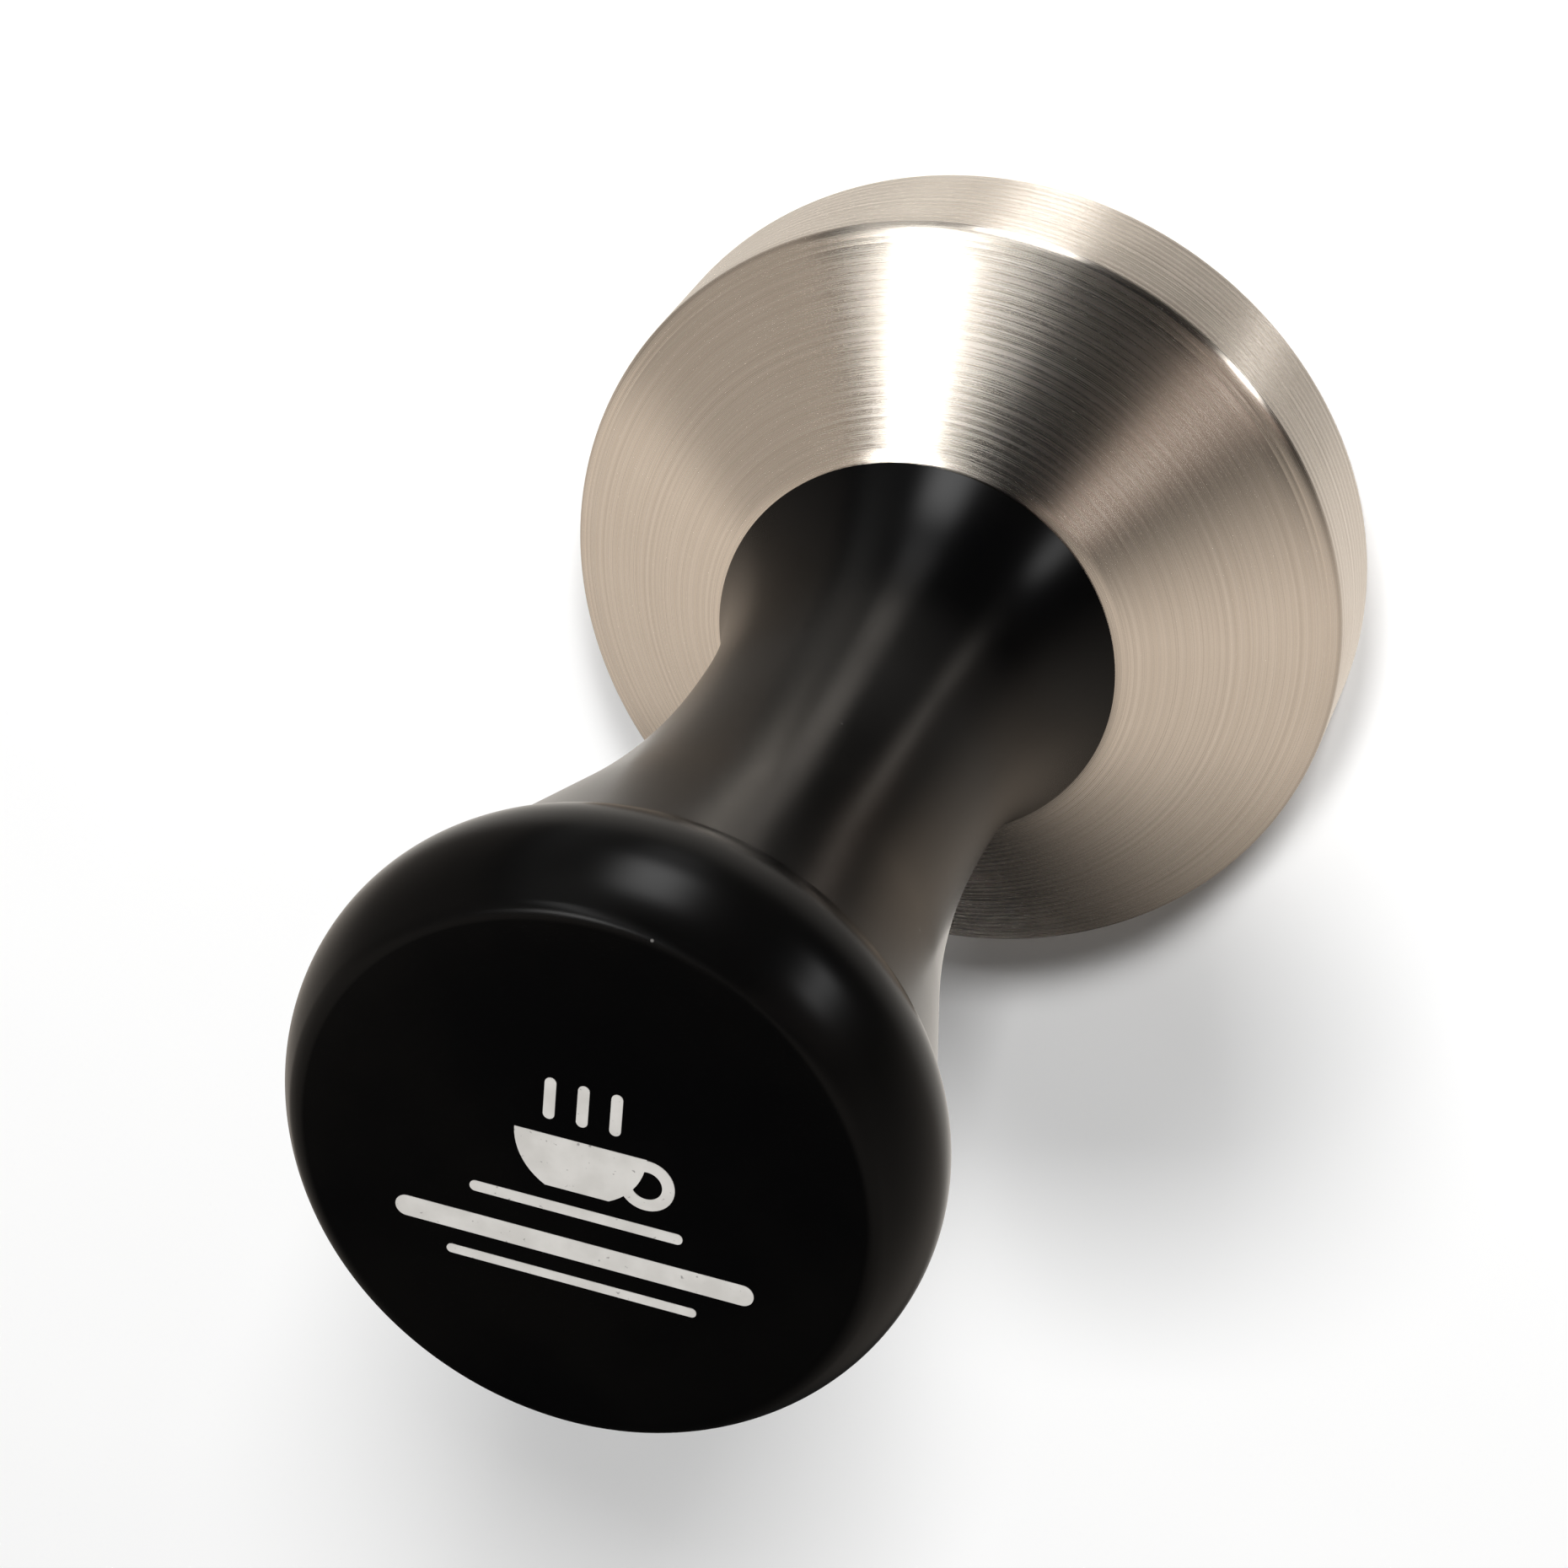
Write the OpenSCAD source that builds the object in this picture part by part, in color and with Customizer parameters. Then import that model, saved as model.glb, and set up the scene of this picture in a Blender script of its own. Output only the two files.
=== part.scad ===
// Espresso tamper: a turned steel base with a screwed-on turned handle.
// Millimetres, +Z up. The origin is the centre of the tamping face, and the handle stands along +Z.

/* [Base] */
// Diameter of the tamping face
base_d = 58; // [53:0.1:60]
// Height at which the cone would meet the straight rim wall
rim_h = 10.2; // [8:0.1:12]
// Height of the flat seat that the handle screws down on
seat_h = 19; // [17:0.5:22]
// Radius of the blend between rim wall and cone
rim_blend_r = 1; // [0.5:0.1:2]
// Chamfer around the tamping face
face_chamfer = 0.3; // [0.1:0.1:0.6]

/* [Handle] */
// Diameter of the collar that meets the base
collar_d = 29.4; // [26:0.2:32]
// Smallest diameter, at the waist
waist_d = 22.4; // [18:0.2:24]
// Height of the waist above the tamping face
waist_h = 40; // [36:1:44]
// Power of the flare between waist and collar, higher is more sudden
flare_power = 2.6; // [2:0.1:3.5]
// Radius of the long hollow curve above the waist
neck_curve_r = 88; // [80:1:100]
// Angle between the axis and the straight cone that ends the neck
neck_angle = 15; // [12:0.5:16]
// Largest diameter of the knob
knob_d = 40; // [39:0.2:44]
// Height of the knob's largest diameter
knob_h = 81.8; // [80:0.1:86]
// Radius of the knob's underside
knob_under_r = 8; // [7:0.1:9]
// Radius of the knob's shoulder
knob_shoulder_r = 9.3; // [8:0.1:10]
// Angle of the shoulder at which the top edge starts
shoulder_angle = 37; // [30:1:45]
// Radius of the edge around the flat top
top_edge_r = 1.5; // [1:0.1:2.5]
// Radius of the hollow blend between neck and knob
knob_blend_r = 2; // [1:0.1:2.5]

/* [Threaded joint] */
// Nominal thread diameter of the stud
thread_d = 8; // [6:1:10]
// Length of the stud
stud_l = 25; // [20:1:30]
// How far the stud reaches down into the base
stud_reach = 10.5; // [8:0.5:11]
// Width across flats of the stud's hexagon socket
socket_af = 4; // [3:0.5:4]
// Outer diameter of the washer
washer_d = 16; // [14:0.5:20]
// Thickness of the washer
washer_t = 1.6; // [1:0.1:2]

/* [Printed mark] */
// Width of the printed mark
mark_w = 22; // [16:1:26]
// Thickness of the ink
ink_t = 0.05; // [0.03:0.01:0.1]

/* [Hidden] */
$fn = 96;

base_r = base_d / 2;
collar_r = collar_d / 2;
waist_r = waist_d / 2;
knob_r = knob_d / 2;
thread_r = thread_d / 2;

// The washer stands proud of its pocket, so the collar hangs clear of the seat.
collar_gap = 0.1;
collar_bevel = 0.3;
collar_h = seat_h + collar_gap;
washer_clearance = 0.3;
washer_hole_r = thread_r + 0.2;
pocket_h = seat_h + washer_t;

// The stud turns in the base with running clearance, and is locked in the handle.
running_clearance = 0.05;
stud_bottom = seat_h - stud_reach;
stud_top = stud_bottom + stud_l;
stud_chamfer = 0.8;
socket_depth = 4.5;
hole_spare = 1;
hole_mouth_chamfer = 0.5;
drill_angle = 59;
overlap = 0.1;

flare_steps = 18;
neck_steps = 12;
blend_steps = 6;
knob_steps = 14;

// Points on an arc, from one angle to another.
function arc(centre, radius, from, to, steps) =
    [for (i = [0:steps]) let (a = from + (to - from) * i / steps) centre + radius * [cos(a), sin(a)]];

// The cone's slope, from the seat's edge out to the rim wall.
cone_angle = atan((seat_h - rim_h) / (base_r - collar_r));
rim_blend_tangent = rim_blend_r * tan((90 - cone_angle) / 2);
rim_blend_centre = [base_r - rim_blend_r, rim_h - rim_blend_tangent];

// Knob: underside, shoulder and top edge are three arcs that run into each other.
under_centre = [knob_r - knob_under_r, knob_h];
shoulder_centre = [knob_r - knob_shoulder_r, knob_h];
shoulder_end = shoulder_centre + knob_shoulder_r * [cos(shoulder_angle), sin(shoulder_angle)];
top_edge_centre = shoulder_end - top_edge_r * [cos(shoulder_angle), sin(shoulder_angle)];
top_h = top_edge_centre.y + top_edge_r;

// Neck: a hollow arc from the waist, then a straight cone along neck_dir.
neck_centre = [waist_r + neck_curve_r, waist_h];
neck_end = neck_centre + neck_curve_r * [-cos(neck_angle), sin(neck_angle)];
neck_dir = [sin(neck_angle), cos(neck_angle)];
neck_out = [cos(neck_angle), -sin(neck_angle)];

// Blend circle that touches the straight cone and the underside arc.
blend_start = neck_end + knob_blend_r * neck_out - under_centre;
blend_along = blend_start * neck_dir;
blend_reach = knob_under_r + knob_blend_r;
blend_root = sqrt(blend_along * blend_along - blend_start * blend_start + blend_reach * blend_reach);
blend_centre = under_centre + blend_start - (blend_along + blend_root) * neck_dir;
blend_to_knob = under_centre - blend_centre;
blend_end_angle = atan2(blend_to_knob.y, blend_to_knob.x);
under_start_angle = blend_end_angle - 180;

flare = [for (i = [0:flare_steps]) let (t = i / flare_steps)
    [waist_r + (collar_r - waist_r) * pow(1 - t, flare_power),
     collar_h + collar_bevel + t * (waist_h - collar_h - collar_bevel)]];

handle_outline = concat(
    [[0, collar_h], [collar_r - collar_bevel, collar_h]],
    flare,
    [for (p = arc(neck_centre, neck_curve_r, 180, 180 - neck_angle, neck_steps)) if (p.y > waist_h) p],
    arc(blend_centre, knob_blend_r, 180 - neck_angle, blend_end_angle, blend_steps),
    [for (i = [1:knob_steps]) under_centre + knob_under_r
        * [cos(under_start_angle * (1 - i / knob_steps)), sin(under_start_angle * (1 - i / knob_steps))]],
    [for (i = [1:knob_steps]) shoulder_centre + knob_shoulder_r
        * [cos(shoulder_angle * i / knob_steps), sin(shoulder_angle * i / knob_steps)]],
    [for (i = [1:blend_steps]) let (a = shoulder_angle + (90 - shoulder_angle) * i / blend_steps)
        top_edge_centre + top_edge_r * [cos(a), sin(a)]],
    [[0, top_h]]
);

base_outline = concat(
    [[0, 0], [base_r - face_chamfer, 0], [base_r, face_chamfer]],
    arc(rim_blend_centre, rim_blend_r, 0, 90 - cone_angle, blend_steps),
    [[collar_r, seat_h], [0, seat_h]]
);

// A round hole with a drilled point: up from z = 0, or down from it.
module drilled_hole(radius, depth) {
    cylinder(r = radius, h = depth);
    translate([0, 0, depth]) cylinder(r1 = radius, r2 = 0, h = radius / tan(drill_angle));
}

// Steel base, with the blind hole for the stud opening in its seat.
module tamper_base() {
    hole_r = thread_r + running_clearance;
    mouth_r = hole_r + hole_mouth_chamfer;
    color("silver") difference() {
        rotate_extrude() polygon(base_outline);
        translate([0, 0, seat_h + overlap]) mirror([0, 0, 1])
            drilled_hole(hole_r, stud_reach + hole_spare + overlap);
        translate([0, 0, seat_h - hole_mouth_chamfer])
            cylinder(r1 = hole_r, r2 = mouth_r + overlap, h = hole_mouth_chamfer + overlap);
    }
}

// One-piece turned handle, with the washer's pocket and the stud's hole in its underside.
module handle() {
    color([0.03, 0.03, 0.03]) difference() {
        rotate_extrude() polygon(handle_outline);
        translate([0, 0, collar_h - overlap])
            cylinder(d = washer_d + 2 * washer_clearance, h = pocket_h - collar_h + overlap);
        translate([0, 0, pocket_h - overlap])
            drilled_hole(thread_r, stud_top - pocket_h + hole_spare + overlap);
    }
}

// Headless screw, chamfered at both ends, with its hexagon socket facing down.
module threaded_stud() {
    tip_r = thread_r - stud_chamfer;
    color("darkgray") translate([0, 0, stud_bottom]) difference() {
        union() {
            cylinder(r1 = tip_r, r2 = thread_r, h = stud_chamfer);
            translate([0, 0, stud_chamfer]) cylinder(r = thread_r, h = stud_l - 2 * stud_chamfer);
            translate([0, 0, stud_l - stud_chamfer]) cylinder(r1 = thread_r, r2 = tip_r, h = stud_chamfer);
        }
        translate([0, 0, -overlap])
            cylinder(d = socket_af / cos(30), h = socket_depth + overlap, $fn = 6);
    }
}

// Flat washer that the handle clamps against the seat.
module washer() {
    color("ivory") translate([0, 0, seat_h]) difference() {
        cylinder(d = washer_d, h = washer_t);
        translate([0, 0, -overlap]) cylinder(r = washer_hole_r, h = washer_t + 2 * overlap);
    }
}

// A flat bar with round ends, lying along X or Y from its centre.
module round_bar(length, width) {
    straight = length - width;
    translate([-straight / 2, -width / 2, 0]) cube([straight, width, ink_t]);
    for (side = [-1, 1]) translate([side * straight / 2, 0, 0]) cylinder(d = width, h = ink_t, $fn = 24);
}

// Plain cup pictogram over two rules, printed on the flat top.
module printed_mark() {
    unit = mark_w / 22;
    cup_r = 4 * unit;
    cup_h = 3.5 * unit;
    cup_top = 2.6 * unit;
    ring_x = 4.1 * unit;
    ring_y = cup_top - 1.75 * unit;
    ring_r = 1.7 * unit;
    ring_hole_r = 0.95 * unit;
    line_w = 0.7 * unit;
    saucer_y = -2.3 * unit;
    steam_y = 5.1 * unit;
    steam_step = 2 * unit;
    color("gainsboro") translate([0, 0, top_h]) {
        difference() {
            union() {
                translate([0, cup_top, 0]) cylinder(r = cup_r, h = ink_t);
                translate([ring_x, ring_y, 0]) cylinder(r = ring_r, h = ink_t);
            }
            translate([-2 * cup_r, cup_top, -overlap]) cube([4 * cup_r, 2 * cup_r, 1]);
            translate([-2 * cup_r, cup_top - cup_h - cup_r, -overlap]) cube([4 * cup_r, cup_r, 1]);
            difference() {
                translate([ring_x, ring_y, -overlap]) cylinder(r = ring_hole_r, h = 1);
                translate([0, cup_top, -2 * overlap]) cylinder(r = cup_r, h = 2);
            }
        }
        translate([0, saucer_y, 0]) round_bar(13 * unit, line_w);
        for (i = [-1:1]) translate([i * steam_step, steam_y, 0]) rotate(90) round_bar(2.8 * unit, line_w);
        translate([0, -5 * unit, 0]) round_bar(mark_w, 1.4 * unit);
        translate([0, -7.2 * unit, 0]) round_bar(mark_w * 0.7, 0.6 * unit);
    }
}

tamper_base();
handle();
threaded_stud();
washer();
printed_mark();
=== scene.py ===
"""Espresso tamper: fine meshes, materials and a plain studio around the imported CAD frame.

Everything is in metres, in the CAD frame: the origin is the centre of the tamping face and the
handle stands along +Z. In the photograph the tamper lies on its side, so here the camera is rolled
instead and the tamper stands on its tamping face.
"""

import math

import bmesh
import bpy
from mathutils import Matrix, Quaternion, Vector

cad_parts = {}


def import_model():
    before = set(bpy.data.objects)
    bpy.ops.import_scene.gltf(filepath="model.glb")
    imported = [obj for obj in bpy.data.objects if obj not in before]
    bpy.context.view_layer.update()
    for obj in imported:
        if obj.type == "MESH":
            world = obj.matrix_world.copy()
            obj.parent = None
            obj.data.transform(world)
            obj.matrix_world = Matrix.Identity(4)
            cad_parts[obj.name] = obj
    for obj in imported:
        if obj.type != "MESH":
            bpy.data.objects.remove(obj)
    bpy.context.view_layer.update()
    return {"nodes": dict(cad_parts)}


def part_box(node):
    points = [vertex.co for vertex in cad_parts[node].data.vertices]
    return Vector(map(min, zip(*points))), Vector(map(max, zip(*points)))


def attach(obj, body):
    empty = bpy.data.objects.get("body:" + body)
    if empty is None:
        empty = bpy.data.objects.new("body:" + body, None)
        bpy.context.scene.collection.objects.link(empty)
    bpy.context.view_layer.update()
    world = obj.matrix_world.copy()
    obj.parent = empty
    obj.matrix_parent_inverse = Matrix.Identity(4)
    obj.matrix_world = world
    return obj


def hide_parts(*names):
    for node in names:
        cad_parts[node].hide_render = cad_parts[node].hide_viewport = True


MM = 0.001
TAU = 2 * math.pi

# ---- steel base, the same outline as the CAD part
RIM_H = 10.2 * MM
RIM_BLEND_R = 1.0 * MM
FACE_CHAMFER = 0.3 * MM
HOLE_CHAMFER = 0.5 * MM
DRILL_ANGLE = math.radians(59)
HOLE_SPARE = 1.0 * MM
# Two fine lines turned into the cone just inside its outer edge
LINE_DISTANCES = (0.35 * MM, 0.8 * MM)
LINE_W = 0.10 * MM
LINE_DEPTH = 0.012 * MM
# Spacing of the lathe's feed marks, along the ring coordinate of the steel material
FEED_PITCH = 0.85 * MM

# ---- handle, the same outline as the CAD part
COLLAR_R = 14.7 * MM
COLLAR_BEVEL = 0.3 * MM
WAIST_R = 11.2 * MM
WAIST_H = 40.0 * MM
FLARE_POWER = 2.6
NECK_CURVE_R = 88.0 * MM
NECK_ANGLE = math.radians(15)
KNOB_H = 81.8 * MM
KNOB_UNDER_R = 8.0 * MM
KNOB_SHOULDER_R = 9.3 * MM
SHOULDER_ANGLE = math.radians(37)
TOP_EDGE_R = 1.5 * MM
KNOB_BLEND_R = 2.0 * MM
WASHER_CLEARANCE = 0.3 * MM

# ---- M8 x 1.25 thread, and the stud's hexagon socket
PITCH = 1.25 * MM
THREAD_CREST_R = 4.0 * MM
THREAD_ROOT_R = 3.3235 * MM
THREAD_FIT = 0.035 * MM
TIP_R = 3.2 * MM
SOCKET_FLATS = 4.0 * MM
SOCKET_DEPTH = 4.5 * MM
SOCKET_POINT = 0.8 * MM
# Where the thread's outline bends, in pitches from the middle of a crest
CREST_END = 1 / 16
ROOT_START = 3 / 8

# ---- washer
WASHER_EDGE_R = 0.25 * MM
WASHER_HOLE_SPARE = 0.2 * MM

# ---- mesh fineness
BASE_SEGMENTS = 192
HANDLE_SEGMENTS = 256
STUD_SEGMENTS = 96
WASHER_SEGMENTS = 96
SHARP_ANGLE = math.radians(32)

# ---- camera, from the photograph's outline
CAMERA_PLACE = Vector((55.8, 134.0, 259.1)) * MM
CAMERA_AIM = Vector((-3.1, -0.6, 40.0)) * MM
CAMERA_ROLL = math.radians(-146.6)
CAMERA_LENS = 90.0

# ---- floor, and the lights that throw its shadows: name, azimuth, height, size, power
FLOOR_R = 3.0
FLOOR_GLOW = 0.75
LIGHT_DISTANCE = 1.6
LIGHT_AIM = Vector((0.0, 0.0, 30.0)) * MM
LIGHTS = (
    ("key", 76, 41, 0.32, 21.0),
    ("second", 107, 63, 0.34, 15.5),
)

# ---- the studio that the steel and the black handle mirror. Azimuths and heights are in degrees
WARM = (1.12, 1.0, 0.88)
ROSE = (1.22, 1.0, 0.88)
NEUTRAL = (1.0, 1.0, 0.97)
WHITE = (1.0, 1.0, 1.0)
BLACK = (0.0, 0.0, 0.0, 1)
ROOM = (0.03, 0.03, 0.03)
TABLE = (1.22, 1.15, 1.06, 1)
SHADED_TABLE = (0.85, 0.80, 0.74, 1)
BACKDROP = (0.92, 0.92, 0.92, 1)
FILL = (0.10, 0.10, 0.10, 1)
# Upright panels around the tamper:
# (from azimuth, to azimuth, softness), brightness, tint
PANELS = (
    ((-200, -172, 8), 0.45, WARM),
    ((-172, -125, 8), 0.85, WARM),
    ((-65, 5, 25), 0.80, WARM),
    ((25, 47, 6), 0.40, ROSE),
    ((102, 132, 8), 0.95, NEUTRAL),
    ((140, 200, 6), 0.45, WARM),
)
# Lamps that show only in reflections:
# (from azimuth, to azimuth, from height, to height, softness), strength
LAMPS = (
    ((86, 103, -26, 2, 6), 15.0),
    ((86, 103, -44, -32, 6), 2.0),
    ((36, 43, -25, 3, 5), 12.0),
    ((115, 126, 30, 60, 3), 7.0),
    ((138, 160, 62, 76, 3), 22.0),
)


# ------------------------------------------------------------------ outlines

def arc(centre, radius, start, end, steps):
    """Points along an arc in the (radius, height) plane."""
    points = []
    for i in range(steps + 1):
        a = start + (end - start) * i / steps
        points.append((centre[0] + radius * math.cos(a), centre[1] + radius * math.sin(a)))
    return points


def base_outline(base_r, seat_h):
    """From the middle of the tamping face out and up to the mouth of the hole."""
    cone_angle = math.atan((seat_h - RIM_H) / (base_r - COLLAR_R))
    tangent = RIM_BLEND_R * math.tan((math.pi / 2 - cone_angle) / 2)
    blend = arc((base_r - RIM_BLEND_R, RIM_H - tangent), RIM_BLEND_R, 0, math.pi / 2 - cone_angle, 12)
    inward = (-math.cos(cone_angle), math.sin(cone_angle))
    below = (-math.sin(cone_angle), -math.cos(cone_angle))
    start = blend[-1]
    cone = []
    for distance in LINE_DISTANCES:
        for step, depth in ((-0.5, 0.0), (0.0, LINE_DEPTH), (0.5, 0.0)):
            along = distance + step * LINE_W
            cone.append((start[0] + along * inward[0] + depth * below[0],
                         start[1] + along * inward[1] + depth * below[1]))
    last = cone[-1]
    cone_end = (COLLAR_R, seat_h)
    for i in range(1, 16):
        t = i / 16
        cone.append((last[0] + (cone_end[0] - last[0]) * t, last[1] + (cone_end[1] - last[1]) * t))
    face = [(base_r * i / 12, 0.0) for i in range(12)]
    wall = [(base_r, FACE_CHAMFER + (blend[0][1] - FACE_CHAMFER) * i / 6) for i in range(6)]
    return face + [(base_r - FACE_CHAMFER, 0.0)] + wall + blend + cone + [cone_end]


def flare_points(collar_h, steps=40):
    """The flare from the collar's bevel up to the waist."""
    low = collar_h + COLLAR_BEVEL
    points = []
    for i in range(steps + 1):
        t = i / steps
        radius = WAIST_R + (COLLAR_R - WAIST_R) * (1 - t) ** FLARE_POWER
        points.append((radius, low + t * (WAIST_H - low)))
    return points


def knob_blend(neck_end, under_centre):
    """Centre and end angle of the small hollow arc that joins the straight neck to the knob."""
    along_dir = (math.sin(NECK_ANGLE), math.cos(NECK_ANGLE))
    out_dir = (math.cos(NECK_ANGLE), -math.sin(NECK_ANGLE))
    start = (neck_end[0] + KNOB_BLEND_R * out_dir[0] - under_centre[0],
             neck_end[1] + KNOB_BLEND_R * out_dir[1] - under_centre[1])
    along = start[0] * along_dir[0] + start[1] * along_dir[1]
    reach = KNOB_UNDER_R + KNOB_BLEND_R
    root = math.sqrt(along ** 2 - start[0] ** 2 - start[1] ** 2 + reach ** 2)
    centre = (under_centre[0] + start[0] - (along + root) * along_dir[0],
              under_centre[1] + start[1] - (along + root) * along_dir[1])
    end_angle = math.atan2(under_centre[1] - centre[1], under_centre[0] - centre[0])
    return centre, end_angle


def handle_outline(collar_h, top_h, knob_r, pocket_r, pocket_h, bore_r, bore_h):
    """From the tip of the stud's hole, down through the washer's pocket, and round to the flat top."""
    inside = [(0.0, bore_h + bore_r / math.tan(DRILL_ANGLE)), (bore_r, bore_h), (bore_r, pocket_h),
              (pocket_r, pocket_h), (pocket_r, collar_h), (COLLAR_R - COLLAR_BEVEL, collar_h)]
    neck_centre = (WAIST_R + NECK_CURVE_R, WAIST_H)
    neck = arc(neck_centre, NECK_CURVE_R, math.pi, math.pi - NECK_ANGLE, 24)
    under_centre = (knob_r - KNOB_UNDER_R, KNOB_H)
    blend_centre, blend_end = knob_blend(neck[-1], under_centre)
    blend = arc(blend_centre, KNOB_BLEND_R, math.pi - NECK_ANGLE, blend_end, 10)
    under = arc(under_centre, KNOB_UNDER_R, blend_end - math.pi, 0.0, 28)
    shoulder_centre = (knob_r - KNOB_SHOULDER_R, KNOB_H)
    shoulder = arc(shoulder_centre, KNOB_SHOULDER_R, 0.0, SHOULDER_ANGLE, 20)
    edge_centre = (shoulder[-1][0] - TOP_EDGE_R * math.cos(SHOULDER_ANGLE),
                   shoulder[-1][1] - TOP_EDGE_R * math.sin(SHOULDER_ANGLE))
    edge = arc(edge_centre, TOP_EDGE_R, SHOULDER_ANGLE, math.pi / 2, 12)
    top = [(edge[-1][0] * (1 - i / 8), top_h) for i in range(1, 9)]
    return (inside + flare_points(collar_h) + neck[1:] + blend + under[1:] + shoulder[1:]
            + edge[1:-1] + [(edge[-1][0], top_h)] + top)


# ------------------------------------------------------------------ meshes

def revolve(bm, outline, segments):
    """Turns an outline about Z. A point on the axis becomes one shared vertex."""
    rings = []
    for radius, height in outline:
        if radius < 1e-9:
            rings.append([bm.verts.new((0.0, 0.0, height))])
            continue
        ring = []
        for i in range(segments):
            a = TAU * i / segments
            ring.append(bm.verts.new((radius * math.cos(a), radius * math.sin(a), height)))
        rings.append(ring)
    for low, high in zip(rings, rings[1:]):
        join_rings(bm, low, high)
    return rings


def join_rings(bm, low, high):
    """Faces between two rings, either of which may be a single point on the axis."""
    count = max(len(low), len(high))
    for i in range(count):
        j = (i + 1) % count
        corners = []
        for vertex in (low[i % len(low)], low[j % len(low)], high[j % len(high)], high[i % len(high)]):
            if vertex not in corners:
                corners.append(vertex)
        bm.faces.new(corners)


def thread_radius(phase):
    """Radius of the basic thread outline at a phase counted in pitches from a crest."""
    distance = abs(phase - round(phase))
    share = (distance - CREST_END) / (ROOT_START - CREST_END)
    share = min(max(share, 0.0), 1.0)
    return THREAD_CREST_R + (THREAD_ROOT_R - THREAD_CREST_R) * share


def thread_phases():
    """The rows within one pitch, set on the bends of the thread's outline and between them."""
    flank = [CREST_END + (ROOT_START - CREST_END) * i / 4 for i in range(5)]
    return [0.0] + flank + [0.5] + [1 - p for p in reversed(flank)]


def thread_wall(bm, low, high, segments, radius_at):
    """A wall whose rows climb one pitch per turn. Rows past either end fold onto that end's ring.

    radius_at(phase, height) must give one radius for every phase at both ends.
    Returns the lowest and highest ring.
    """
    phases = thread_phases()
    first = math.floor(low / PITCH) - 2
    last = math.ceil(high / PITCH) + 2
    rows = [turn + phase for turn in range(first, last) for phase in phases]
    columns = []
    for i in range(segments):
        angle = TAU * i / segments
        column = []
        for row in rows:
            height = min(max((row + i / segments) * PITCH, low), high)
            if column and abs(column[-1].co.z - height) < 1e-9:
                column.append(column[-1])
                continue
            radius = radius_at(row, height)
            column.append(bm.verts.new((radius * math.cos(angle), radius * math.sin(angle), height)))
        columns.append(column)
    for i in range(segments):
        shift = len(phases) if i == segments - 1 else 0
        here, there = columns[i], columns[(i + 1) % segments]
        for j in range(len(rows) - 1 - shift):
            corners = []
            for vertex in (here[j], there[j + shift], there[j + 1 + shift], here[j + 1]):
                if vertex not in corners:
                    corners.append(vertex)
            if len(corners) > 2:
                bm.faces.new(corners)
    return [column[0] for column in columns], [column[-1] for column in columns]


def finish_mesh(bm, name):
    """Turns the bmesh into an object with outward faces, smooth shading and crisp corners."""
    bmesh.ops.remove_doubles(bm, verts=bm.verts, dist=1e-7)
    bmesh.ops.recalc_face_normals(bm, faces=bm.faces)
    mesh = bpy.data.meshes.new(name)
    bm.to_mesh(mesh)
    bm.free()
    for polygon in mesh.polygons:
        polygon.use_smooth = True
    mesh.set_sharp_from_angle(angle=SHARP_ANGLE)
    piece = bpy.data.objects.new(name, mesh)
    bpy.context.scene.collection.objects.link(piece)
    return piece


def build_base():
    """Steel base with turned lines, and its blind tapped hole."""
    base_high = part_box("tamper_base")[1]
    stud_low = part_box("threaded_stud")[0]
    seat_h = base_high.z
    hole_low = stud_low.z - HOLE_SPARE
    hole_high = seat_h - HOLE_CHAMFER
    hole_r = THREAD_CREST_R + THREAD_FIT
    drill_r = THREAD_ROOT_R + THREAD_FIT

    def tapped(row, height):
        radius = thread_radius(row) + THREAD_FIT
        radius = max(radius, hole_r - (hole_high - height))
        return min(radius, drill_r + (height - hole_low))

    bm = bmesh.new()
    seat = [(COLLAR_R * (1 - i / 5) + (hole_r + HOLE_CHAMFER) * i / 5, seat_h) for i in range(1, 6)]
    rings = revolve(bm, base_outline(base_high.x, seat_h) + seat, BASE_SEGMENTS)
    bottom, mouth = thread_wall(bm, hole_low, hole_high, BASE_SEGMENTS, tapped)
    join_rings(bm, rings[-1], mouth)
    tip = bm.verts.new((0.0, 0.0, hole_low - drill_r / math.tan(DRILL_ANGLE)))
    join_rings(bm, bottom, [tip])
    return finish_mesh(bm, "steel_base")


def build_handle():
    """One-piece turned handle with the washer's pocket and the stud's hole."""
    handle_low, handle_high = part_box("handle")
    stud_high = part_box("threaded_stud")[1]
    washer_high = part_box("washer")[1]
    outline = handle_outline(
        handle_low.z, handle_high.z, handle_high.x,
        washer_high.x + WASHER_CLEARANCE, washer_high.z,
        THREAD_CREST_R, stud_high.z + HOLE_SPARE,
    )
    bm = bmesh.new()
    revolve(bm, outline, HANDLE_SEGMENTS)
    return finish_mesh(bm, "turned_handle")


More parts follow.
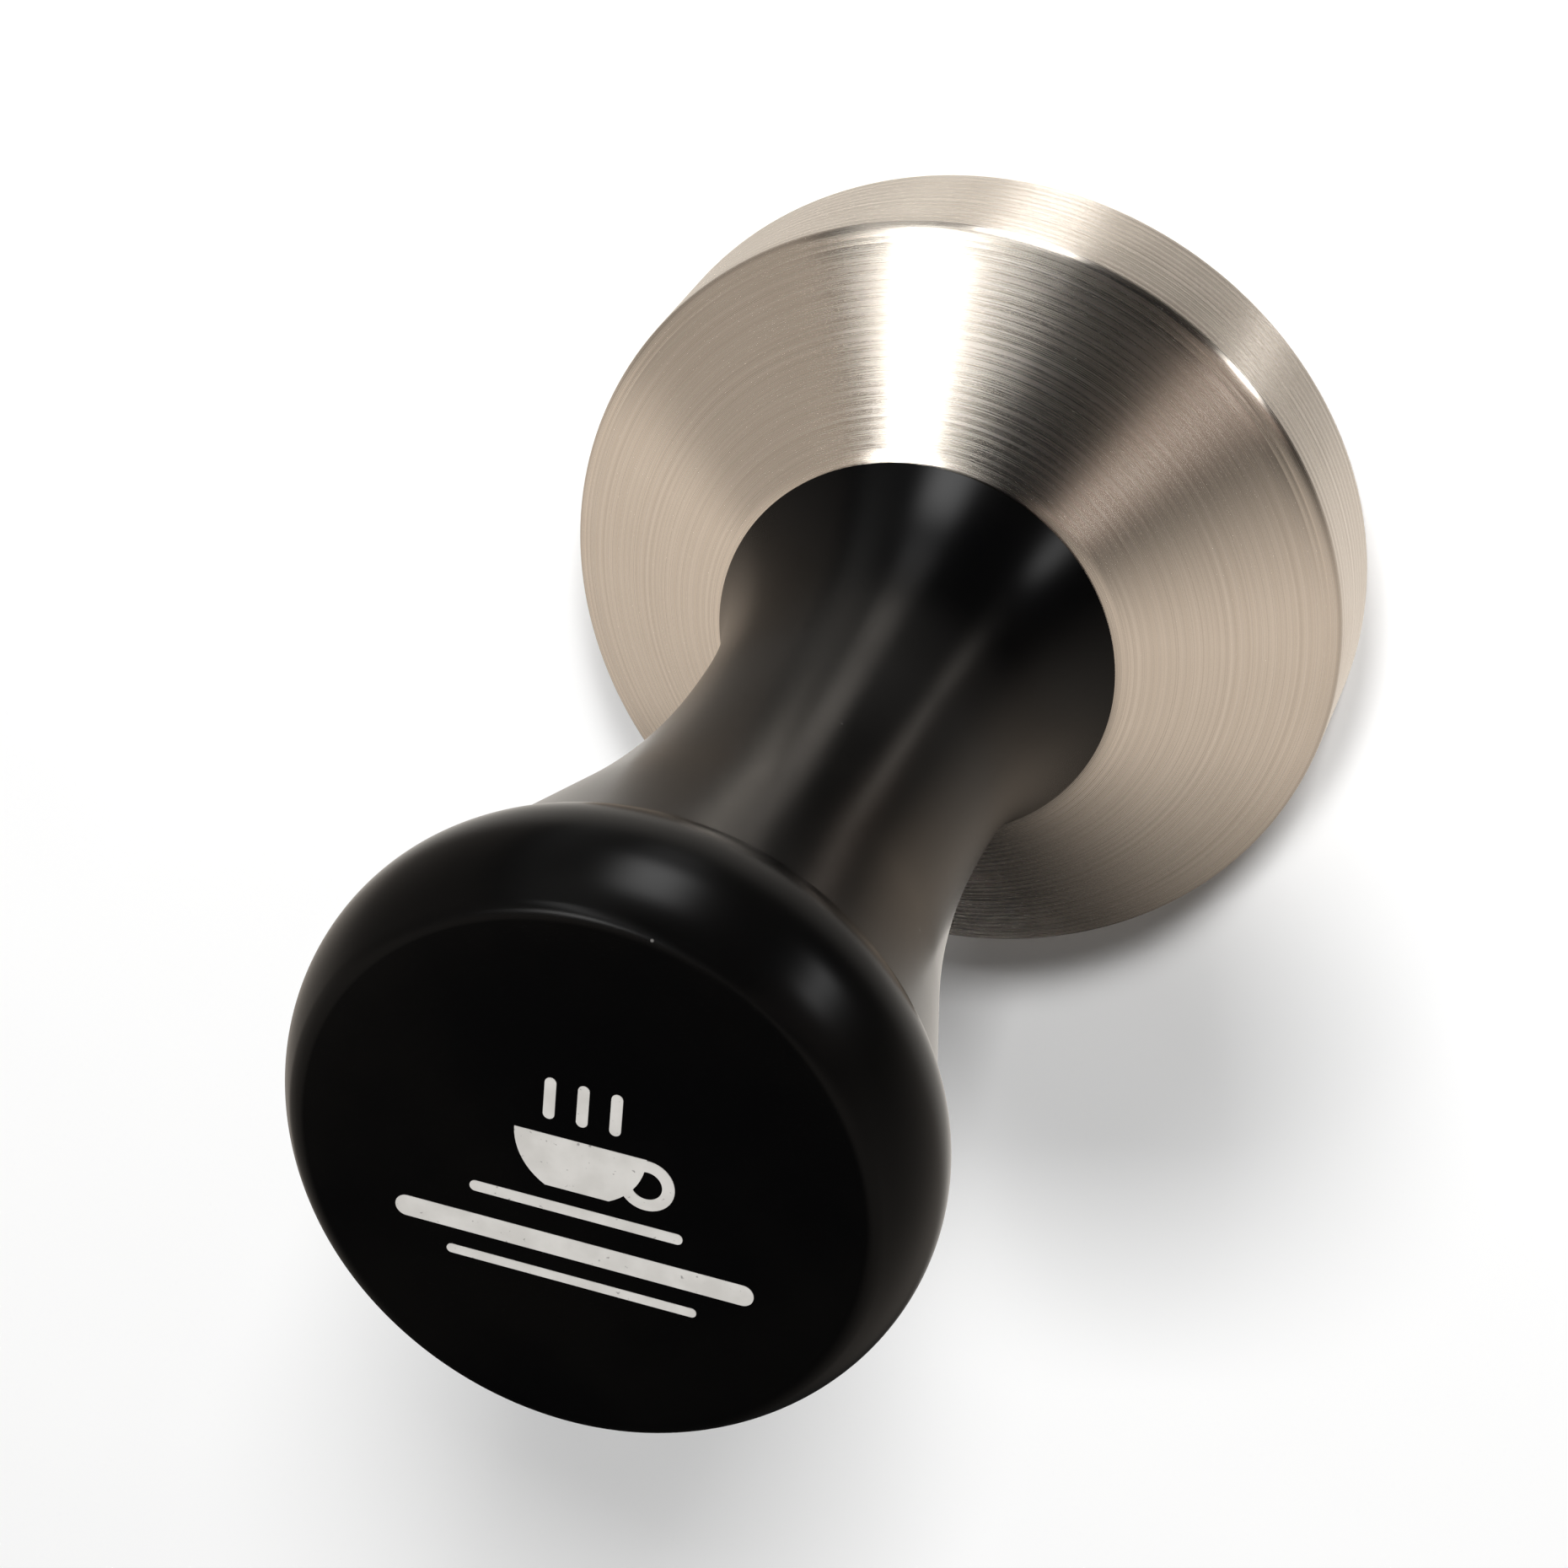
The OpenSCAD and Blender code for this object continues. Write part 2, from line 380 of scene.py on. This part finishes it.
def build_stud():
    """Headless M8 screw: real helical thread, chamfered ends, hexagon socket facing down."""
    low, high = (corner.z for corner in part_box("threaded_stud"))

    def screw(row, height):
        radius = thread_radius(row) - THREAD_FIT
        return min(radius, TIP_R + (height - low), TIP_R + (high - height))

    bm = bmesh.new()
    bottom, top = thread_wall(bm, low, high, STUD_SEGMENTS, screw)
    centre = bm.verts.new((0.0, 0.0, high))
    join_rings(bm, top, [centre])
    socket = []
    for depth in (0.0, SOCKET_DEPTH):
        ring = []
        for i in range(STUD_SEGMENTS):
            a = TAU * i / STUD_SEGMENTS
            radius = SOCKET_FLATS / 2 / math.cos(a % (TAU / 6) - TAU / 12)
            ring.append(bm.verts.new((radius * math.cos(a), radius * math.sin(a), low + depth)))
        socket.append(ring)
    join_rings(bm, bottom, socket[0])
    join_rings(bm, socket[0], socket[1])
    deep = bm.verts.new((0.0, 0.0, low + SOCKET_DEPTH + SOCKET_POINT))
    join_rings(bm, socket[1], [deep])
    return finish_mesh(bm, "m8_stud")


def build_washer():
    """Flat washer with rounded edges."""
    low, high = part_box("washer")
    hole_r = THREAD_CREST_R + WASHER_HOLE_SPARE
    edge = WASHER_EDGE_R
    corners = ((high.x - edge, low.z + edge, -0.25), (high.x - edge, high.z - edge, 0.0),
               (hole_r + edge, high.z - edge, 0.25), (hole_r + edge, low.z + edge, 0.5))
    outline = []
    for radius, height, turn in corners:
        outline += arc((radius, height), edge, turn * TAU, (turn + 0.25) * TAU, 5)
    bm = bmesh.new()
    rings = revolve(bm, outline, WASHER_SEGMENTS)
    join_rings(bm, rings[-1], rings[0])
    return finish_mesh(bm, "nylon_washer")


# ------------------------------------------------------------------ material nodes

class Nodes:
    """A node tree with short calls for the nodes used below."""

    def __init__(self, tree):
        self.tree = tree

    def add(self, kind, **settings):
        node = self.tree.nodes.new(kind)
        for key, value in settings.items():
            setattr(node, key, value)
        return node

    def set(self, socket, value):
        """Links the value if it is a socket, else stores it."""
        if isinstance(value, bpy.types.NodeSocket):
            self.tree.links.new(value, socket)
        else:
            socket.default_value = value

    def math(self, operation, *values):
        node = self.add("ShaderNodeMath", operation=operation)
        for socket, value in zip(node.inputs, values):
            self.set(socket, value)
        return node.outputs[0]

    def spread(self, value, low, high, to_low=0.0, to_high=1.0):
        """Carries low..high smoothly to to_low..to_high."""
        node = self.add("ShaderNodeMapRange", interpolation_type="SMOOTHSTEP")
        for socket, number in zip(node.inputs, (value, low, high, to_low, to_high)):
            self.set(socket, number)
        return node.outputs[0]

    def mix(self, factor, first, second):
        node = self.add("ShaderNodeMix", data_type="RGBA")
        self.set(node.inputs[0], factor)
        self.set(node.inputs[6], first)
        self.set(node.inputs[7], second)
        return node.outputs[2]

    def noise(self, vector, scale, detail=2.0, roughness=0.5):
        node = self.add("ShaderNodeTexNoise")
        self.set(node.inputs["Vector"], vector)
        self.set(node.inputs["Scale"], scale)
        self.set(node.inputs["Detail"], detail)
        self.set(node.inputs["Roughness"], roughness)
        return node.outputs["Fac"]

    def noise_1d(self, value, scale, detail=2.0):
        node = self.add("ShaderNodeTexNoise", noise_dimensions="1D")
        self.set(node.inputs["W"], value)
        self.set(node.inputs["Scale"], scale)
        self.set(node.inputs["Detail"], detail)
        return node.outputs["Fac"]

    def bump(self, height, distance, strength=1.0, normal=None):
        node = self.add("ShaderNodeBump")
        self.set(node.inputs["Height"], height)
        self.set(node.inputs["Distance"], distance)
        self.set(node.inputs["Strength"], strength)
        if normal is not None:
            self.set(node.inputs["Normal"], normal)
        return node.outputs["Normal"]


def new_material(name):
    """An empty Principled material, its nodes, shader and object coordinates."""
    material = bpy.data.materials.new(name)
    material.use_nodes = True
    nodes = Nodes(material.node_tree)
    shader = material.node_tree.nodes["Principled BSDF"]
    place = nodes.add("ShaderNodeTexCoord").outputs["Object"]
    return material, nodes, shader, place


def ring_coordinate(nodes, place):
    """Grows across the turned rings on the face, the rim wall and the cone alike, in metres."""
    parts = nodes.add("ShaderNodeSeparateXYZ")
    nodes.set(parts.inputs[0], place)
    x, y, z = parts.outputs
    squares = nodes.math("ADD", nodes.math("MULTIPLY", x, x), nodes.math("MULTIPLY", y, y))
    radius = nodes.math("SQRT", squares)
    return nodes.math("SUBTRACT", radius, z)


def steel_material(name, light, dark, roughness, anisotropy):
    """Turned stainless steel: rings of fine tool marks that stretch every reflection along the radius."""
    material, nodes, shader, place = new_material(name)
    ring = ring_coordinate(nodes, place)
    coarse = nodes.noise_1d(ring, 1800.0, 3.0)
    fine = nodes.noise_1d(ring, 7500.0, 2.0)
    patches = nodes.noise(place, 90.0, 3.0)
    smudge = nodes.spread(nodes.noise(place, 38.0, 4.0, 0.6), 0.52, 0.72)
    tone = nodes.math("ADD", nodes.math("MULTIPLY", coarse, 0.6), nodes.math("MULTIPLY", patches, 0.4))
    nodes.set(shader.inputs["Base Color"], nodes.mix(nodes.spread(tone, 0.35, 0.65), dark, light))
    shader.inputs["Metallic"].default_value = 1.0
    feed = nodes.math("SINE", nodes.math("MULTIPLY", ring, TAU / FEED_PITCH))
    uneven = nodes.math("ADD", fine, nodes.math("MULTIPLY", feed, 0.08))
    rough = nodes.spread(uneven, 0.25, 0.75, roughness * 0.78, roughness * 1.2)
    nodes.set(shader.inputs["Roughness"], nodes.math("ADD", rough, nodes.math("MULTIPLY", smudge, 0.05)))
    shader.inputs["Anisotropic"].default_value = anisotropy
    shader.inputs["Anisotropic Rotation"].default_value = 0.25
    tangent = nodes.add("ShaderNodeTangent", direction_type="RADIAL", axis="Z")
    nodes.set(shader.inputs["Tangent"], tangent.outputs[0])
    rings = nodes.bump(coarse, 0.000006, 0.3)
    nodes.set(shader.inputs["Normal"], nodes.bump(fine, 0.000004, 0.6, rings))
    return material


def black_material(name):
    """Black anodised aluminium: near-black, satin, with faint turning marks and a little dust."""
    material, nodes, shader, place = new_material(name)
    ring = ring_coordinate(nodes, place)
    patches = nodes.noise(place, 60.0, 4.0)
    grain = nodes.noise(place, 5200.0, 2.0)
    turning = nodes.noise_1d(ring, 3200.0, 2.0)
    specks = nodes.add("ShaderNodeTexVoronoi", feature="F1")
    nodes.set(specks.inputs["Vector"], place)
    nodes.set(specks.inputs["Scale"], 190.0)
    few = nodes.spread(nodes.noise(place, 150.0, 1.0), 0.54, 0.58)
    dust = nodes.math("MULTIPLY", nodes.spread(specks.outputs["Distance"], 0.028, 0.012), few)
    cool = (0.0010, 0.0010, 0.0011, 1)
    warm = (0.0018, 0.0017, 0.0016, 1)
    black = nodes.mix(nodes.spread(patches, 0.35, 0.65), cool, warm)
    nodes.set(shader.inputs["Base Color"], nodes.mix(dust, black, (0.12, 0.115, 0.11, 1)))
    nodes.set(shader.inputs["Roughness"], nodes.spread(patches, 0.3, 0.7, 0.205, 0.24))
    shader.inputs["IOR"].default_value = 1.45
    shader.inputs["Specular IOR Level"].default_value = 0.08
    marks = nodes.bump(turning, 0.000002, 0.2)
    nodes.set(shader.inputs["Normal"], nodes.bump(grain, 0.000002, 0.2, marks))
    return material


def ink_material(name):
    """Pale grey printing ink, slightly uneven."""
    material, nodes, shader, place = new_material(name)
    cover = nodes.noise(place, 420.0, 3.0)
    pinholes = nodes.noise(place, 2600.0, 2.0)
    colour = nodes.mix(nodes.spread(cover, 0.3, 0.7), (0.47, 0.455, 0.43, 1), (0.54, 0.525, 0.50, 1))
    colour = nodes.mix(nodes.spread(pinholes, 0.68, 0.74), colour, (0.26, 0.25, 0.24, 1))
    nodes.set(shader.inputs["Base Color"], colour)
    nodes.set(shader.inputs["Roughness"], nodes.spread(cover, 0.3, 0.7, 0.42, 0.55))
    nodes.set(shader.inputs["Normal"], nodes.bump(pinholes, 0.00001, 0.4))
    return material


def nylon_material(name):
    """Off-white moulded nylon, faintly worn where it has been clamped."""
    material, nodes, shader, place = new_material(name)
    cloud = nodes.noise(place, 260.0, 3.0)
    grain = nodes.noise(place, 3000.0, 2.0)
    ring = nodes.noise_1d(ring_coordinate(nodes, place), 1500.0, 2.0)
    colour = nodes.mix(nodes.spread(cloud, 0.3, 0.7), (0.66, 0.62, 0.54, 1), (0.76, 0.73, 0.66, 1))
    colour = nodes.mix(nodes.spread(ring, 0.6, 0.7), colour, (0.50, 0.46, 0.40, 1))
    nodes.set(shader.inputs["Base Color"], colour)
    nodes.set(shader.inputs["Roughness"], nodes.spread(cloud, 0.3, 0.7, 0.42, 0.58))
    nodes.set(shader.inputs["Normal"], nodes.bump(grain, 0.00001, 0.5))
    return material


def floor_material():
    """Plain white paper, kept pale far from the lights by a little glow of its own."""
    material, nodes, shader, place = new_material("studio_paper")
    fibres = nodes.noise(place, 30.0, 3.0)
    nodes.set(shader.inputs["Base Color"], nodes.mix(fibres, (0.90, 0.90, 0.90, 1), (0.93, 0.93, 0.925, 1)))
    away = nodes.add("ShaderNodeVectorMath", operation="LENGTH")
    nodes.set(away.inputs[0], place)
    shader.inputs["Emission Color"].default_value = (1.0, 1.0, 1.0, 1.0)
    glow = nodes.spread(away.outputs["Value"], 0.25, 2.2, 0.0, FLOOR_GLOW)
    nodes.set(shader.inputs["Emission Strength"], glow)
    shader.inputs["Roughness"].default_value = 0.9
    shader.inputs["Specular IOR Level"].default_value = 0.1
    return material


def dress(piece, material):
    """Gives the piece its only material."""
    piece.data.materials.clear()
    piece.data.materials.append(material)


# ------------------------------------------------------------------ studio

def build_floor():
    """A wide round sheet that carries the shadow. Reflections see the world instead."""
    bm = bmesh.new()
    bmesh.ops.create_circle(bm, cap_ends=True, cap_tris=True, segments=96, radius=FLOOR_R)
    mesh = bpy.data.meshes.new("floor")
    bm.to_mesh(mesh)
    bm.free()
    floor = bpy.data.objects.new("floor", mesh)
    bpy.context.scene.collection.objects.link(floor)
    floor.data.materials.append(floor_material())
    floor.visible_glossy = False


def add_light(name, azimuth, elevation, size, power):
    """A square soft box that looks at the tamper. Camera and reflections see the world instead."""
    data = bpy.data.lights.new(name, "AREA")
    data.shape = "SQUARE"
    data.size = size
    data.energy = power
    light = bpy.data.objects.new(name, data)
    a, e = math.radians(azimuth), math.radians(elevation)
    direction = Vector((math.cos(e) * math.cos(a), math.cos(e) * math.sin(a), math.sin(e)))
    light.location = LIGHT_AIM + LIGHT_DISTANCE * direction
    light.rotation_mode = "QUATERNION"
    light.rotation_quaternion = (-direction).to_track_quat("-Z", "Y")
    light.visible_camera = False
    light.visible_glossy = False
    bpy.context.scene.collection.objects.link(light)


def window(nodes, value, low, high, soft):
    """1 between low and high, fading to 0 on both sides."""
    rise = nodes.spread(value, low - soft, low + soft)
    fall = nodes.spread(value, high - soft, high + soft, 1.0, 0.0)
    return nodes.math("MULTIPLY", rise, fall)


def add_glow(nodes, colour, amount, tint):
    """The colour plus the tint times the amount."""
    node = nodes.add("ShaderNodeVectorMath", operation="MULTIPLY_ADD")
    for socket, value in zip(node.inputs, (amount, tint, colour)):
        nodes.set(socket, value)
    return node.outputs[0]


def direction_angles(nodes):
    """Azimuth and elevation of the ray, in degrees."""
    parts = nodes.add("ShaderNodeSeparateXYZ")
    nodes.set(parts.inputs[0], nodes.add("ShaderNodeTexCoord").outputs["Generated"])
    x, y, z = parts.outputs
    azimuth = nodes.math("MULTIPLY", nodes.math("ARCTAN2", y, x), 360 / TAU)
    elevation = nodes.math("MULTIPLY", nodes.math("ARCSINE", z), 360 / TAU)
    return azimuth, elevation


def reflected_room(nodes, azimuth, elevation):
    """A dark room with a few soft panels, dimmer below the horizon, a pale table and lamps."""
    colour = ROOM
    for (left, right, soft), brightness, tint in PANELS:
        amount = nodes.math("MULTIPLY", window(nodes, azimuth, left, right, soft), brightness)
        colour = add_glow(nodes, colour, amount, tint)
    below = nodes.spread(elevation, -2.0, -10.0)
    front = nodes.math("MULTIPLY", window(nodes, azimuth, 12.0, 118.0, 14.0), below)
    colour = nodes.mix(nodes.math("MULTIPLY", front, 0.97), colour, BLACK)
    dim = nodes.spread(elevation, 10.0, -6.0, 1.0, 0.75)
    colour = nodes.mix(dim, BLACK, colour)
    table = nodes.spread(elevation, -45.0, -55.0)
    facing = window(nodes, azimuth, -5.0, 70.0, 20.0)
    colour = nodes.mix(table, colour, nodes.mix(facing, TABLE, SHADED_TABLE))
    for (left, right, bottom, top, soft), strength in LAMPS:
        across = window(nodes, azimuth, left, right, soft)
        upward = window(nodes, elevation, bottom, top, soft)
        amount = nodes.math("MULTIPLY", nodes.math("MULTIPLY", across, upward), strength)
        colour = add_glow(nodes, colour, amount, WHITE)
    return colour


def build_world():
    """Pale for the camera and dim for the fill light. Reflections see the room."""
    world = bpy.data.worlds.new("studio")
    bpy.context.scene.world = world
    world.use_nodes = True
    world.cycles.sampling_method = "NONE"
    nodes = Nodes(world.node_tree)
    background = world.node_tree.nodes["Background"]
    colour = reflected_room(nodes, *direction_angles(nodes))
    ray = nodes.add("ShaderNodeLightPath").outputs
    colour = nodes.mix(ray["Is Diffuse Ray"], colour, FILL)
    nodes.set(background.inputs["Color"], nodes.mix(ray["Is Camera Ray"], colour, BACKDROP))


def build_camera():
    """The photograph's camera, rolled to match the lying tamper."""
    data = bpy.data.cameras.new("camera")
    data.sensor_width = 36.0
    data.lens = CAMERA_LENS
    data.clip_start = 0.005
    camera = bpy.data.objects.new("camera", data)
    camera.location = CAMERA_PLACE
    level = (CAMERA_AIM - CAMERA_PLACE).to_track_quat("-Z", "Y")
    camera.rotation_mode = "QUATERNION"
    camera.rotation_quaternion = level @ Quaternion((0, 0, 1), CAMERA_ROLL)
    bpy.context.scene.collection.objects.link(camera)
    bpy.context.scene.camera = camera


# ------------------------------------------------------------------ scene


def main():
    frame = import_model()

    steel = steel_material("turned_steel", (0.64, 0.585, 0.525, 1), (0.58, 0.525, 0.465, 1), 0.25, 0.965)
    stud_steel = steel_material("stud_steel", (0.44, 0.43, 0.41, 1), (0.32, 0.31, 0.30, 1), 0.36, 0.0)

    pieces = (
        (build_base(), "base", "tamper_base", steel, "turned_steel"),
        (build_washer(), "washer", "washer", nylon_material("washer_nylon"), "washer_nylon"),
        (build_handle(), "handle", "handle", black_material("black_anodised"), "black_anodised"),
        (build_stud(), "handle", "threaded_stud", stud_steel, "stud_steel"),
    )
    for piece, body, node, material, slot in pieces:
        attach(piece, body)
        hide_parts(node)
        dress(piece, material)
    dress(frame["nodes"]["printed_mark"], ink_material("mark_ink"))

    build_floor()
    build_world()
    for light in LIGHTS:
        add_light(*light)
    build_camera()
    bpy.context.scene.view_settings.view_transform = "Standard"


main()
